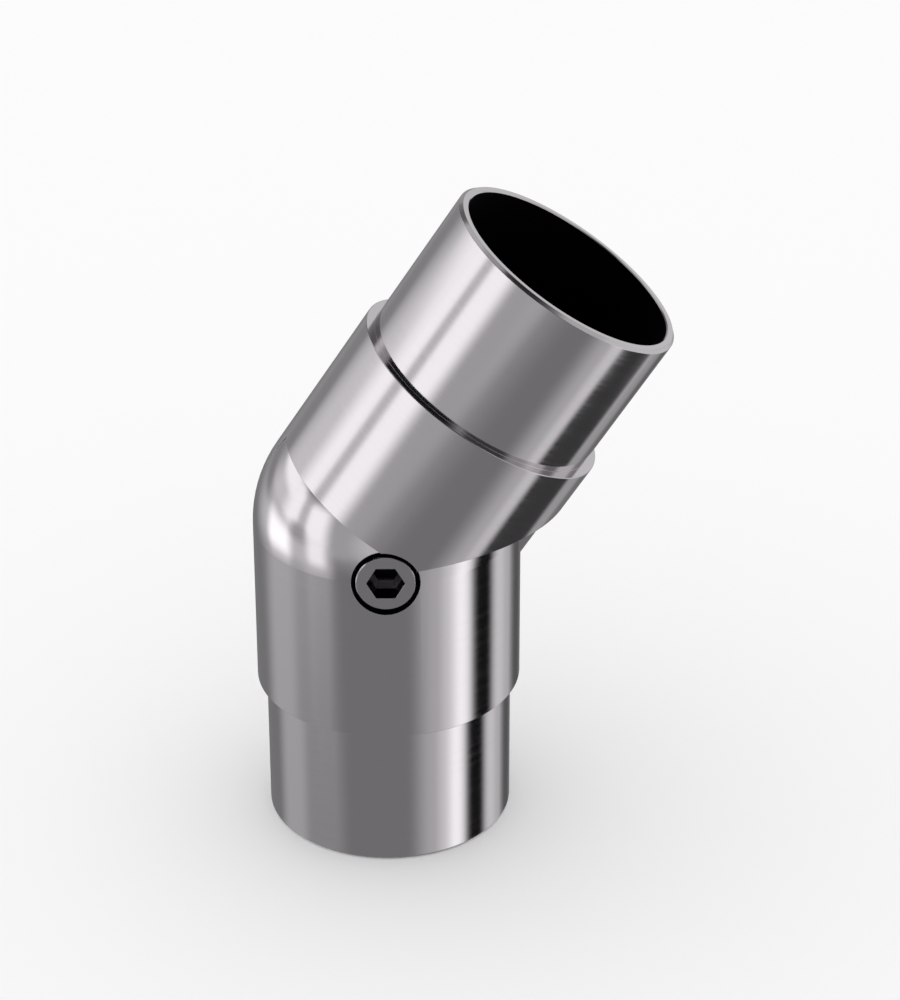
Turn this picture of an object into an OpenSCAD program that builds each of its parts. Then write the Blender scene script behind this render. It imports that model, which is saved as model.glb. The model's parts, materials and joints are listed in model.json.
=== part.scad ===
// Adjustable handrail joiner: two hollow spigots that glue into round handrail
// tubes, joined by a half-lap ball joint that one hidden-thread screw clamps.
// Both halves are the same casting, turned round so that the laps lie side by
// side. Z is up, the pivot lies along Y, and the joiner bends towards +X.
// The origin is the centre of the lower spigot's end, on which it stands.

/* [Handrail tube] */
// Outside diameter of the handrail tube
tube_od = 50.8; // [48:0.1:76.2]
// Wall thickness of the handrail tube
tube_wall = 1.6; // [1.2:0.1:2.6]

/* [Spigots] */
// Radial clearance between a spigot and the inside of the tube
spigot_clearance = 0.2; // [0.1:0.05:0.5]
// Length of a spigot from the shoulder to its end
spigot_len = 29; // [20:1:60]
// Wall thickness of a spigot
spigot_wall = 2; // [1.5:0.1:3.5]
// Lead-in chamfer on the outer edge of a spigot's end
spigot_chamfer = 0.6; // [0.2:0.1:1.2]
// Chamfer on the inner edge of a spigot's end
bore_chamfer = 0.3; // [0.1:0.1:0.6]

/* [Bodies] */
// Distance from the pivot to a shoulder along the tube's axis
body_len = 33; // [30:1:60]
// Chamfer on the edge of a shoulder
shoulder_chamfer = 0.1; // [0.05:0.05:1]
// Thickness of the web between the socket and the spigot's bore
web = 3.5; // [2:0.5:6]
// Wall between the lap face and the cored pocket behind it
lap_wall = 5; // [3:0.5:8]
// Radius of the solid boss left round the pivot
boss_r = 12; // [9:0.5:15]

/* [Half-lap joint] */
// Bend away from straight at which the joiner is shown
bend_deg = 33; // [0:1:45]
// Gap between a dome and the socket that it turns in
socket_gap = 0.15; // [0.1:0.05:0.4]
// Gap between the two flat lap faces
lap_gap = 0.1; // [0.05:0.05:0.3]
// Distance from the pivot to the square part of a socket's rim
rim_offset = 4.9; // [3:0.1:9]
// Angle of the relief cut that lets the joiner bend
relief_deg = 40.3; // [30:0.1:46]
// Distance from the pivot to the plane of the relief cut
relief_offset = 1.83; // [1:0.01:4]

/* [Lap washer] */
// Outside diameter of the washer between the lap faces
lap_washer_od = 30; // [20:1:38]
// Thickness of the washer between the lap faces
lap_washer_t = 1; // [0.6:0.1:2]
// Clearance round the washer in its recesses
lap_washer_clearance = 0.15; // [0.1:0.05:0.5]

/* [Pivot screw] */
// Nominal diameter of the pivot screw
screw_d = 8; // [6:1:10]
// Running clearance round the screw in both laps, on the radius
screw_fit = 0.05; // [0.02:0.01:0.1]
// Diameter of the screw's head
head_d = 11.1; // [10.5:0.1:13]
// Height of the screw's head
head_h = 8; // [5:0.5:9]
// Chamfer on the rim of the head
head_chamfer = 0.15; // [0.1:0.05:0.8]
// How far the head's face lies below the outside of the body
head_recess = 0.4; // [0:0.05:1]
// Gap round the head in its counterbore
head_gap = 0.85; // [0.3:0.05:1.5]
// Size of the hex socket across its flats, with the key's clearance
hex_af = 6.2; // [4.1:0.1:6.3]
// Depth of the hex socket's flats
hex_depth = 3.7; // [3:0.1:4.5]
// Depth of the six-sided taper that the punch leaves below the flats
hex_taper = 1.8; // [0.5:0.1:2.2]
// How far that taper comes in from each flat
hex_taper_in = 0.7; // [0.2:0.1:1.4]
// Metal left in the dome beyond the point of the tapped hole
hole_end_wall = 3.5; // [2:0.5:6]
// Space between the screw's tip and the end of the thread
tip_gap = 1.8; // [1:0.1:4]
// Chamfer on the tip of the screw
tip_chamfer = 0.8; // [0.4:0.1:1.2]

/* [Lock washer] */
// Thickness of the split washer under the head
lock_washer_t = 2; // [1:0.1:2.5]
// Gap round the split washer in the counterbore
lock_washer_gap = 0.2; // [0.1:0.05:0.5]
// Clearance between the split washer and the screw
lock_washer_fit = 0.1; // [0.05:0.05:0.3]
// Width of the split
split_w = 0.8; // [0.4:0.1:2]
// Slant of the split away from the pivot's axis
split_deg = 25; // [0:1:40]

/* [Hidden] */
$fn = 96;

// Slack by which a cutter passes the face that it cuts
over = 1;
// Point angle of a twist drill, half of it
drill_half_deg = 59;

body_r = tube_od / 2;
spigot_r = body_r - tube_wall - spigot_clearance;
bore_r = spigot_r - spigot_wall;
half_len = body_len + spigot_len;
pivot_z = half_len;
socket_r = body_r + socket_gap;
bore_floor = socket_r + web;
// Larger than any half in every direction
far = 2 * half_len;

hole_r = screw_d / 2 + screw_fit;
drill_point = hole_r / tan(drill_half_deg);
thread_end = body_r - hole_end_wall - drill_point;
screw_tip = thread_end - tip_gap;
head_face = body_r - head_recess;
counterbore_r = head_d / 2 + head_gap;
counterbore_floor = head_face - head_h - lock_washer_t;
screw_len = head_face + screw_tip;
hex_corner_r = hex_af / 2 / cos(30);
hex_floor_corner_r = (hex_af / 2 - hex_taper_in) / cos(30);
recess_depth = lap_washer_t / 2;
recess_r = lap_washer_od / 2 + lap_washer_clearance;

// A cylinder along +Y from y0 to y1, in the frame of the pivot
module along_y(r, y0, y1) {
  translate([0, y0, 0]) rotate([-90, 0, 0]) cylinder(h = y1 - y0, r = r);
}

// Everything on one side of the lap face, from y0 towards +Y
module behind(y0) {
  translate([-far, y0, -far]) cube([2 * far, far, 2 * far]);
}

// Everything above a level, turned about the pivot, from y0 towards +Y
module above(level, turn, y0) {
  rotate([0, turn, 0]) translate([-far, y0, level]) cube([2 * far, far, far]);
}

// Outside of one half: dome on top of the body, spigot below it
module half_blank() {
  intersection() {
    sphere(r = body_r);
    translate([0, 0, far / 2]) cube(far, center = true);
  }
  translate([0, 0, -body_len + shoulder_chamfer])
    cylinder(h = body_len - shoulder_chamfer, r = body_r);
  translate([0, 0, -body_len])
    cylinder(h = shoulder_chamfer, r1 = body_r - shoulder_chamfer, r2 = body_r);
  translate([0, 0, -half_len + spigot_chamfer])
    cylinder(h = spigot_len - spigot_chamfer, r = spigot_r);
  translate([0, 0, -half_len])
    cylinder(h = spigot_chamfer, r1 = spigot_r - spigot_chamfer, r2 = spigot_r);
}

// Hollow of the spigot, with the pocket that a core leaves in the lap
module half_core() {
  translate([0, 0, -half_len - over]) cylinder(h = half_len + over - bore_floor, r = bore_r);
  translate([0, 0, -half_len])
    cylinder(h = bore_chamfer, r1 = bore_r + bore_chamfer, r2 = bore_r);
  difference() {
    translate([0, 0, -bore_floor - over])
      cylinder(h = bore_floor + over - boss_r, r = bore_r);
    behind(-lap_wall);
  }
}

// Room for the mate's lap: the ball socket, its rim and the relief cut, with
// the rim scooped out round the pivot so that it never covers the screw's head
module mate_space() {
  intersection() {
    sphere(r = socket_r);
    behind(-lap_gap / 2);
  }
  above(-rim_offset, 0, -lap_gap / 2);
  above(-relief_offset, relief_deg, -lap_gap / 2);
  along_y(counterbore_r, 0, body_r + over);
}

// One half as cast and faced: its lap lies at -Y and its tube leaves at -Z
module cast_half() {
  difference() {
    half_blank();
    half_core();
    mate_space();
    along_y(recess_r, -recess_depth, over);
  }
}

// Stands below: its lap is drilled and counterbored for the screw's head
module lower_half() {
  color([0.72, 0.71, 0.72]) translate([0, 0, pivot_z]) difference() {
    cast_half();
    along_y(hole_r, -body_r - over, over);
    along_y(counterbore_r, -body_r - over, -counterbore_floor);
  }
}

// The same casting turned over and bent: its lap is tapped for the screw
module upper_half() {
  color([0.76, 0.75, 0.76]) translate([0, 0, pivot_z])
    rotate([0, bend_deg, 0]) rotate([180, 0, 0]) difference() {
      cast_half();
      along_y(hole_r, -thread_end, over);
      translate([0, -thread_end, 0]) rotate([90, 0, 0])
        cylinder(h = drill_point, r1 = hole_r, r2 = 0);
    }
}

// Thin disc that the two lap faces turn and clamp on
module lap_washer() {
  color([0.9, 0.9, 0.86]) translate([0, 0, pivot_z]) difference() {
    along_y(lap_washer_od / 2, -lap_washer_t / 2, lap_washer_t / 2);
    along_y(hole_r, -lap_washer_t, lap_washer_t);
  }
}

// Split spring washer, pressed flat under the head
module lock_washer() {
  color([0.55, 0.55, 0.56])
    translate([0, -counterbore_floor - lock_washer_t, pivot_z]) difference() {
      along_y(counterbore_r - lock_washer_gap, 0, lock_washer_t);
      along_y(screw_d / 2 + lock_washer_fit, -over, lock_washer_t + over);
      translate([0, lock_washer_t / 2, 0]) rotate([0, 0, split_deg])
        translate([-split_w / 2, -2 * lock_washer_t, 0])
          cube([split_w, 4 * lock_washer_t, head_d]);
    }
}

// Cylinder-head screw, drawn from the face of its head along +Y
module pivot_screw() {
  color([0.5, 0.5, 0.52]) translate([0, -head_face, pivot_z]) rotate([-90, 0, 0])
    difference() {
      union() {
        cylinder(h = head_chamfer, r1 = head_d / 2 - head_chamfer, r2 = head_d / 2);
        translate([0, 0, head_chamfer]) cylinder(h = head_h - head_chamfer, r = head_d / 2);
        cylinder(h = screw_len - tip_chamfer, r = screw_d / 2);
        translate([0, 0, screw_len - tip_chamfer])
          cylinder(h = tip_chamfer, r1 = screw_d / 2, r2 = screw_d / 2 - tip_chamfer);
      }
      translate([0, 0, -over]) cylinder(h = hex_depth + over, r = hex_corner_r, $fn = 6);
      translate([0, 0, hex_depth])
        cylinder(h = hex_taper, r1 = hex_corner_r, r2 = hex_floor_corner_r, $fn = 6);
    }
}

lower_half();
upper_half();
lap_washer();
lock_washer();
pivot_screw();
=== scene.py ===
"""Looks of an adjustable handrail joiner: two polished castings on a half-lap ball joint."""

import json
import math

import bpy
import numpy as np
from mathutils import Matrix, Vector

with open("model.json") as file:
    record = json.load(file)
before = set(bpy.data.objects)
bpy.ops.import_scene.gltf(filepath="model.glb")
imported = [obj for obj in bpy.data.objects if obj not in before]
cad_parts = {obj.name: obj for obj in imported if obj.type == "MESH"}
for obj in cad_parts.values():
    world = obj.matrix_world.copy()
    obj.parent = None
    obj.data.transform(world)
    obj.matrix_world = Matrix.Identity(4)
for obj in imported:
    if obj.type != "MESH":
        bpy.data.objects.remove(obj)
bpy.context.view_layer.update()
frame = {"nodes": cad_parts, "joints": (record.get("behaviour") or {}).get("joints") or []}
nodes = frame["nodes"]

# The camera. It looks down on the pivot from in front with a long lens, as the
# photograph does, and its place is given from the pivot of the bend.
bend_joint = next(joint for joint in frame["joints"] if joint["name"] == "bend")
pivot = Vector(bend_joint["pos_m"])
camera_from_pivot = Vector((0.00831, -0.55520, 0.30459))
camera_azimuth = math.radians(-0.379)
camera_elevation = math.radians(28.444)
camera_roll = math.radians(-0.123)
sensor_mm = 36.0
focal_px = 3338.1
frame_height_px = 1000

camera_data = bpy.data.cameras.new("camera")
camera_data.sensor_width = sensor_mm
camera_data.lens = focal_px / frame_height_px * sensor_mm
camera_data.clip_start = 0.01
camera = bpy.data.objects.new("camera", camera_data)
bpy.context.scene.collection.objects.link(camera)
camera.matrix_world = (
    Matrix.Translation(pivot + camera_from_pivot)
    @ Matrix.Rotation(camera_azimuth, 4, "Z")
    @ Matrix.Rotation(math.pi / 2 - camera_elevation, 4, "X")
    @ Matrix.Rotation(camera_roll, 4, "Z")
)
bpy.context.scene.camera = camera
bpy.context.scene.view_settings.view_transform = "Standard"

# The floor and the backdrop: a pale matt sheet that takes the joiner's soft
# shadow, under an even white sky. The camera sees the sky as pale as the sheet,
# so no horizon shows, and the metal mirrors the tent below instead of the sheet.
sky_colour = (1.0, 1.0, 1.0, 1.0)
sky_level = 1.0
sheet_level = 0.97
sheet_roughness = 0.9
floor_half = 12.0
floor_colour = (sheet_level, sheet_level, sheet_level, 1.0)


def add_node(tree, kind, *inputs, **settings):
    """Adds a node, sets its properties, and links or sets its inputs in order."""
    made = tree.nodes.new(kind)
    for name, value in settings.items():
        setattr(made, name, value)
    for socket, value in zip(made.inputs, inputs):
        if isinstance(value, bpy.types.NodeSocket):
            tree.links.new(value, socket)
        elif value is not None:
            socket.default_value = value
    return made


def mix_of(tree, share, first, second):
    """The first number where share is 0, and the second where it is 1."""
    return add_node(tree, "ShaderNodeMix", share, None, first, second).outputs[0]


def new_material(name):
    """A new material, its node tree and its shader."""
    material = bpy.data.materials.new(name)
    material.use_nodes = True
    return material, material.node_tree, material.node_tree.nodes["Principled BSDF"]


sky = bpy.data.worlds.new("white_sky")
sky.use_nodes = True
sky_shader = sky.node_tree.nodes["Background"]
sky_shader.inputs["Color"].default_value = sky_colour
seen = add_node(sky.node_tree, "ShaderNodeLightPath").outputs["Is Camera Ray"]
sky.node_tree.links.new(
    mix_of(sky.node_tree, seen, sky_level, sheet_level), sky_shader.inputs["Strength"]
)
bpy.context.scene.world = sky

floor_corners = floor_half * np.array([(-1, -1, 0), (1, -1, 0), (1, 1, 0), (-1, 1, 0)])
floor_mesh = bpy.data.meshes.new("floor")
floor_mesh.from_pydata(floor_corners.tolist(), [], [(0, 1, 2, 3)])
floor_paper, _, paper_shader = new_material("floor_paper")
paper_shader.inputs["Base Color"].default_value = floor_colour
paper_shader.inputs["Roughness"].default_value = sheet_roughness
paper_shader.inputs["Specular IOR Level"].default_value = 0.0
floor_mesh.materials.append(floor_paper)
floor = bpy.data.objects.new("floor", floor_mesh)
bpy.context.scene.collection.objects.link(floor)
floor.visible_glossy = False

# The tent that polished metal has to stand in to be photographed: plain walls
# with windows on the left, a strip light and a black flag on the right, and a
# black ceiling. It is a cloth sphere round the pivot that only reflections see.
tent_radius = 5.0
tent_step = 1.0
wall_below, wall_above = 0.19, 0.33
wall_fade = (-27.0, -4.0)
# The cards pinned to it, each with its level; azimuth, elevation; half width,
# half height; soft edge across, up. Angles are in degrees from the pivot: azimuth
# 0 is towards the photographer and + is right, elevation + is up.
cards = {
    "left wall, low": (0.40, -100, -56, 11, 24, 22, 20),
    "near wall, low": (0.27, -66, -44, 12, 24, 18, 14),
    "near wall": (0.40, -36, 10, 16, 16, 10, 8),
    "near wall, lit part": (0.55, -8, 3, 5, 3, 24, 13),
    "glow under the window": (0.60, -98, -13, 18, 2, 38, 21),
    "glow right of the bar": (0.62, -60, -15, 6, 4, 14, 16),
    "shade left of the window": (0.25, -148, -4, 12, 2, 22, 7),
    "low window, left": (1.32, -102, -15, 8, 3, 13, 11),
    "low window, right": (1.05, -60, -12, 3, 4, 10, 10),
    "window, left pane": (0.65, -110, 9, 6, 7, 27, 8),
    "window, left pane, top": (1.10, -116, 21, 16, 6, 12, 7),
    "window, left pane, lit": (1.10, -89, 12, 2, 10, 17, 9),
    "window, right pane": (1.10, -63, 9, 5, 9, 14, 10),
    "window bar": (0.56, -77, 8, 1, 22, 6, 8),
    "foot of the bar": (0.36, -79, -4, 2, 2, 12, 7),
    "head of the bar": (0.40, -77, 30, 3, 4, 11, 9),
    "right wall, near": (0.45, 50, -48, 8, 30, 26, 11),
    "strip light, halo": (0.65, 62, -33, 8, 16, 12, 12),
    "strip light": (1.12, 67, -27, 0, 11, 15, 12),
    "black curtain": (0.05, 27, 16, 14, 18, 10, 8),
    "right wall, top": (0.47, 80, 24, 16, 18, 10, 10),
    "right wall, far": (0.65, 116, -18, 5, 16, 13, 10),
    "right wall, end": (0.50, 127, -26, 0, 20, 13, 10),
    "back wall": (0.60, 120, 0, 36, 15, 14, 11),
    "dark frame at the back": (0.20, 133, -1, 6, 2, 10, 6),
    "dark corner": (0.10, 151, -32, 5, 3, 9, 7),
    "back wall, top": (0.48, 180, 57, 33, 12, 20, 10),
    "back wall, dim part": (0.18, 178, 29, 12, 5, 9, 7),
    "wall behind the lamp": (0.12, -166, 38, 8, 4, 11, 9),
    "lamp behind": (0.66, -146, 46, 1, 2, 10, 8),
    "floor at the back": (0.36, 138, -50, 4, 2, 12, 13),
    "black flag": (0.005, 91, -41, 5, 29, 8, 5),
    "floor flag": (0.045, 94, -72, 24, 20, 12, 6),
    "black ceiling": (0.01, -30, 57, 81, 26, 12, 9),
}


def smooth_step(value, start, end):
    """0 before start, 1 after end and 3t^2 - 2t^3 between, t the share of the way."""
    share = np.clip((value - start) / (end - start), 0.0, 1.0)
    return share * share * (3.0 - 2.0 * share)


def tent_levels(azimuth, elevation):
    """Brightness of the tent. The walls ease from wall_below to wall_above over
    wall_fade. Each card then pulls the level to its own: wholly inside its
    rectangle, and by a smooth step to nothing at an ellipse's distance from it."""
    fade = smooth_step(elevation, *wall_fade)
    level = wall_below + (wall_above - wall_below) * fade
    for card in cards.values():
        own, card_az, card_el, half_w, half_h, soft_w, soft_h = card
        aside = (azimuth - card_az + 180.0) % 360.0 - 180.0
        across = np.maximum(np.abs(aside) - half_w, 0.0) / soft_w
        up = np.maximum(np.abs(elevation - card_el) - half_h, 0.0) / soft_h
        level = level + (own - level) * (1.0 - smooth_step(np.hypot(across, up), 0.0, 1.0))
    return level


turn, rise = np.meshgrid(
    np.arange(-180.0, 180.0, tent_step), np.arange(-90.0, 90.0 + tent_step, tent_step)
)
# A sphere round the pivot: x = r cos(el) sin(az), y = -r cos(el) cos(az), z = r sin(el)
tent_points = np.array(pivot) + tent_radius * np.stack(
    [
        np.cos(np.radians(rise)) * np.sin(np.radians(turn)),
        -np.cos(np.radians(rise)) * np.cos(np.radians(turn)),
        np.sin(np.radians(rise)),
    ],
    axis=-1,
)
numbered = np.arange(turn.size).reshape(turn.shape)
below, above = numbered[:-1], numbered[1:]
tent_faces = np.stack(
    [below, above, np.roll(above, -1, axis=1), np.roll(below, -1, axis=1)], axis=-1
)
tent_mesh = bpy.data.meshes.new("tent")
tent_mesh.from_pydata(tent_points.reshape(-1, 3).tolist(), [], tent_faces.reshape(-1, 4).tolist())
tent_light = tent_mesh.attributes.new("light", "FLOAT", "POINT")
tent_light.data.foreach_set("value", tent_levels(turn, rise).ravel().astype(np.float32))

tent_cloth, cloth, _ = new_material("tent_cloth")
cloth.nodes.clear()
cloth_level = add_node(cloth, "ShaderNodeAttribute", attribute_name="light")
cloth_glow = add_node(cloth, "ShaderNodeEmission", None, cloth_level.outputs["Fac"])
add_node(cloth, "ShaderNodeOutputMaterial", cloth_glow.outputs[0])
tent_cloth.cycles.emission_sampling = "NONE"
tent_mesh.materials.append(tent_cloth)
tent = bpy.data.objects.new("tent", tent_mesh)
bpy.context.scene.collection.objects.link(tent)
tent.visible_camera = False
tent.visible_diffuse = False
tent.visible_shadow = False

# The lower half: a stainless investment casting, machined on its spigot, shoulder
# and lap, then polished to a mirror with its edges just broken. The wheel can't
# reach the joint's faces, which stay as milled. The bore and the counterbore get
# a near-black painted shade.
steel_colour = (0.79, 0.755, 0.785, 1.0)
milled_colour = (0.66, 0.635, 0.66, 1.0)
milled_roughness = 0.30
# Near black with its roughness: painted shade in the bore and the counterbore
painted_shade_colour = (0.010, 0.009, 0.010, 1.0)
painted_shade_roughness = 0.8
# Nearer to the pivot than this, along its normal, a face is inside the joint
outward_from = 0.020
bore_radius = 0.0217
counterbore_radius = 0.0066
# Measured from the pivot down the tube: where the bore and its pocket begin,
# and how far behind the lap face the pocket lies
bore_start = 0.0265
pocket_start = 0.0115
pocket_behind_lap = 0.0040
# Width of the broken edges, and the rays that round them off
broken_edge = 0.00012
edge_rays = 4
# Roughness of the polish between and on the belt's rings, and their fineness
belt_roughness = (0.08, 0.13)
belt_scale = (40.0, 40.0, 2600.0)
wave_scale = 45.0
wave_detail = 1.0
wave_height = 0.00001
# The levels between which nearly all of a noise lies
noise_span = (0.3, 0.7)


def math_of(tree, operation, *inputs):
    """The output of one Math node."""
    return add_node(tree, "ShaderNodeMath", *inputs, operation=operation).outputs[0]


def spread(tree, noise, low, high):
    """A noise's level, eased by a smooth step from low to high over noise_span."""
    return add_node(
        tree, "ShaderNodeMapRange", noise, *noise_span, low, high, interpolation_type="SMOOTHSTEP"
    ).outputs[0]


def own_place(tree, turned=(0.0, 0.0, 0.0)):
    """Object coordinates from the pivot, in the frame of a piece turned by these
    angles about X, then Y, then Z."""
    place = add_node(
        tree,
        "ShaderNodeMapping",
        add_node(tree, "ShaderNodeTexCoord").outputs["Object"],
        tuple(pivot),
        turned,
        vector_type="TEXTURE",
    )
    return place.outputs[0]


def from_axis(tree, across, along):
    """How far a point lies from an axis: the length of its two coordinates square to it."""
    pair = add_node(tree, "ShaderNodeCombineXYZ", across, along)
    length = add_node(tree, "ShaderNodeVectorMath", pair.outputs[0], operation="LENGTH")
    return length.outputs["Value"]


def three_colours(tree, share, *colours):
    """The first colour where share is 0, the second at 1/2 and the third at 1."""
    ramp = add_node(tree, "ShaderNodeValToRGB", share)
    ramp.color_ramp.elements.new(0.5)
    for stop, colour in zip(ramp.color_ramp.elements, colours):
        stop.color = colour
    return ramp.outputs["Color"]


def polished_casting(name, turned):
    """Mirror-polished steel outside, milled faces in the joint, and a near-black
    painted shade in the bore and the counterbore. A face's normal times its place
    from the pivot tells the outside from the joint, and the distances from the
    tube's and the screw's axes tell the bore and the counterbore. In the casting's
    own frame the tube leaves along -Z and the lap lies at -Y. The belt leaves fine
    rings round the tube's axis: noise stretched round it, which varies the
    roughness. The hand polish leaves a slow waviness, a bump."""
    material, tree, shader = new_material(name)
    shader.inputs["Metallic"].default_value = 1.0

    coords = add_node(tree, "ShaderNodeTexCoord").outputs
    from_pivot = add_node(
        tree, "ShaderNodeVectorMath", coords["Object"], tuple(pivot), operation="SUBTRACT"
    )
    outward = add_node(
        tree,
        "ShaderNodeVectorMath",
        coords["Normal"],
        from_pivot.outputs[0],
        operation="DOT_PRODUCT",
    )
    milled = math_of(tree, "LESS_THAN", outward.outputs["Value"], outward_from)

    place = own_place(tree, turned)
    spot = add_node(tree, "ShaderNodeSeparateXYZ", place).outputs
    in_bore = math_of(tree, "LESS_THAN", from_axis(tree, spot["X"], spot["Y"]), bore_radius)
    past_web = math_of(tree, "LESS_THAN", spot["Z"], -bore_start)
    in_pocket = math_of(
        tree,
        "MULTIPLY",
        math_of(tree, "LESS_THAN", spot["Z"], -pocket_start),
        math_of(tree, "LESS_THAN", spot["Y"], -pocket_behind_lap),
    )
    hollow = math_of(tree, "MAXIMUM", past_web, in_pocket)
    by_screw = math_of(
        tree, "LESS_THAN", from_axis(tree, spot["X"], spot["Z"]), counterbore_radius
    )
    # Painted shade: the bore past the web and the pocket, and the milled counterbore round the
    # screw
    dark = math_of(
        tree,
        "MAXIMUM",
        math_of(tree, "MULTIPLY", in_bore, hollow),
        math_of(tree, "MULTIPLY", by_screw, milled),
    )
    # 0 polished, 1/2 milled, 1 painted shade
    finish_or_shade = math_of(tree, "MAXIMUM", math_of(tree, "MULTIPLY", milled, 0.5), dark)
    tree.links.new(
        three_colours(tree, finish_or_shade, steel_colour, milled_colour, painted_shade_colour),
        shader.inputs["Base Color"],
    )

    stretched = add_node(tree, "ShaderNodeVectorMath", place, belt_scale, operation="MULTIPLY")
    belt = add_node(tree, "ShaderNodeTexNoise", stretched.outputs[0])
    belt.inputs["Scale"].default_value = 1.0
    rough = spread(tree, belt.outputs[0], *belt_roughness)
    rough = mix_of(tree, milled, rough, milled_roughness)
    rough = mix_of(tree, dark, rough, painted_shade_roughness)
    tree.links.new(rough, shader.inputs["Roughness"])

    wave = add_node(tree, "ShaderNodeTexNoise", place)
    wave.inputs["Scale"].default_value = wave_scale
    wave.inputs["Detail"].default_value = wave_detail
    edge = add_node(tree, "ShaderNodeBevel", broken_edge, samples=edge_rays)
    bump = add_node(tree, "ShaderNodeBump")
    bump.inputs["Distance"].default_value = wave_height
    tree.links.new(wave.outputs[0], bump.inputs["Height"])
    tree.links.new(edge.outputs[0], bump.inputs["Normal"])
    tree.links.new(bump.outputs[0], shader.inputs["Normal"])
    return material


lower_steel = polished_casting("lower_polished_steel", (0.0, 0.0, 0.0))
nodes["lower_half"].material_slots[0].material = lower_steel

# The upper half: the same casting turned over and swung to the bend, so its
# polish runs round the bent axis.
turned_over = math.pi
rest_bend = math.radians(33)
upper_steel = polished_casting("upper_polished_steel", (turned_over, rest_bend, 0.0))
nodes["upper_half"].material_slots[0].material = upper_steel

# The lap washer: a thin disc punched from natural nylon sheet, milky and
# slightly grained. It lies between the laps and shows only as a hair line.
nylon_colour = (0.80, 0.78, 0.71, 1.0)
nylon_roughness = (0.38, 0.55)
nylon_grain_scale = 900.0

nylon, nylon_tree, nylon_shader = new_material("natural_nylon")
nylon_shader.inputs["Base Color"].default_value = nylon_colour
nylon_grain = add_node(nylon_tree, "ShaderNodeTexNoise", own_place(nylon_tree))
nylon_grain.inputs["Scale"].default_value = nylon_grain_scale
nylon_tree.links.new(
    spread(nylon_tree, nylon_grain.outputs[0], *nylon_roughness),
    nylon_shader.inputs["Roughness"],
)
nodes["lap_washer"].material_slots[0].material = nylon

# The pivot screw: turned from stainless bar, with a faced and chamfered head
# and a hex socket. Facing leaves fine rings round the screw's axis. The socket
# is painted near black, a painted shade, and the taper below its flats is rough
# and painted paler than the screw's steel, a painted light.
screw_colour = (0.74, 0.71, 0.735, 1.0)
screw_roughness = (0.12, 0.22)
screw_ring_pitch = 0.00012
screw_edge = 0.00012
# Painted shade for the socket's walls, and painted light for its taper
socket_shade_colour = (0.035, 0.033, 0.035, 1.0)
taper_lit_colour = (0.84, 0.80, 0.84, 1.0)
taper_roughness = 0.5
socket_radius = 0.0037
# Where along Y, from the pivot, the socket and its taper start and end
socket_mouth, socket_end = -0.02495, -0.01945
taper_start, taper_end = -0.02132, -0.01952


def turned_rings(tree, roughness, ring_pitch):
    """Roughness of turned steel, from the lower of the two given to the higher:
    rings round the pivot's axis, about one ring_pitch apart, worked out as noise of
    the distance from that axis."""
    spot = add_node(tree, "ShaderNodeSeparateXYZ", own_place(tree)).outputs
    turns = math_of(tree, "DIVIDE", from_axis(tree, spot["X"], spot["Z"]), ring_pitch)
    rings = add_node(tree, "ShaderNodeTexNoise", noise_dimensions="1D")
    rings.inputs["Scale"].default_value = 1.0
    tree.links.new(turns, rings.inputs["W"])
    return spread(tree, rings.outputs[0], *roughness)


def inside_socket(tree, start, end):
    """1 near the screw's axis where Y is from start to end, and 0 elsewhere."""
    spot = add_node(tree, "ShaderNodeSeparateXYZ", own_place(tree)).outputs
    near = math_of(tree, "LESS_THAN", from_axis(tree, spot["X"], spot["Z"]), socket_radius)
    between = math_of(tree, "COMPARE", spot["Y"], (start + end) / 2, (end - start) / 2)
    return math_of(tree, "MULTIPLY", near, between)


screw_steel, screw_tree, screw_shader = new_material("turned_screw_steel")
screw_shader.inputs["Metallic"].default_value = 1.0
socket = inside_socket(screw_tree, socket_mouth, socket_end)
taper = inside_socket(screw_tree, taper_start, taper_end)
# 0 turned, 1/2 the socket's painted shade, 1 its taper's painted light
screw_finish_or_shade = math_of(screw_tree, "MAXIMUM", math_of(screw_tree, "MULTIPLY", socket, 0.5), taper)
screw_rough = turned_rings(screw_tree, screw_roughness, screw_ring_pitch)
screw_tree.links.new(
    three_colours(screw_tree, screw_finish_or_shade, screw_colour, socket_shade_colour, taper_lit_colour),
    screw_shader.inputs["Base Color"],
)
screw_tree.links.new(
    mix_of(screw_tree, taper, screw_rough, taper_roughness), screw_shader.inputs["Roughness"]
)
screw_tree.links.new(
    add_node(screw_tree, "ShaderNodeBevel", screw_edge, samples=edge_rays).outputs[0],
    screw_shader.inputs["Normal"],
)
nodes["pivot_screw"].material_slots[0].material = screw_steel

# The lock washer: a split spring washer rolled from stainless wire and left a
# duller grey than the screw. It sits at the bottom of the counterbore.
spring_colour = (0.50, 0.49, 0.50, 1.0)
spring_roughness = (0.28, 0.38)
spring_ring_pitch = 0.0003

spring_steel, spring_tree, spring_shader = new_material("spring_washer_steel")
spring_shader.inputs["Base Color"].default_value = spring_colour
spring_shader.inputs["Metallic"].default_value = 1.0
spring_tree.links.new(
    turned_rings(spring_tree, spring_roughness, spring_ring_pitch),
    spring_shader.inputs["Roughness"],
)
nodes["lock_washer"].material_slots[0].material = spring_steel
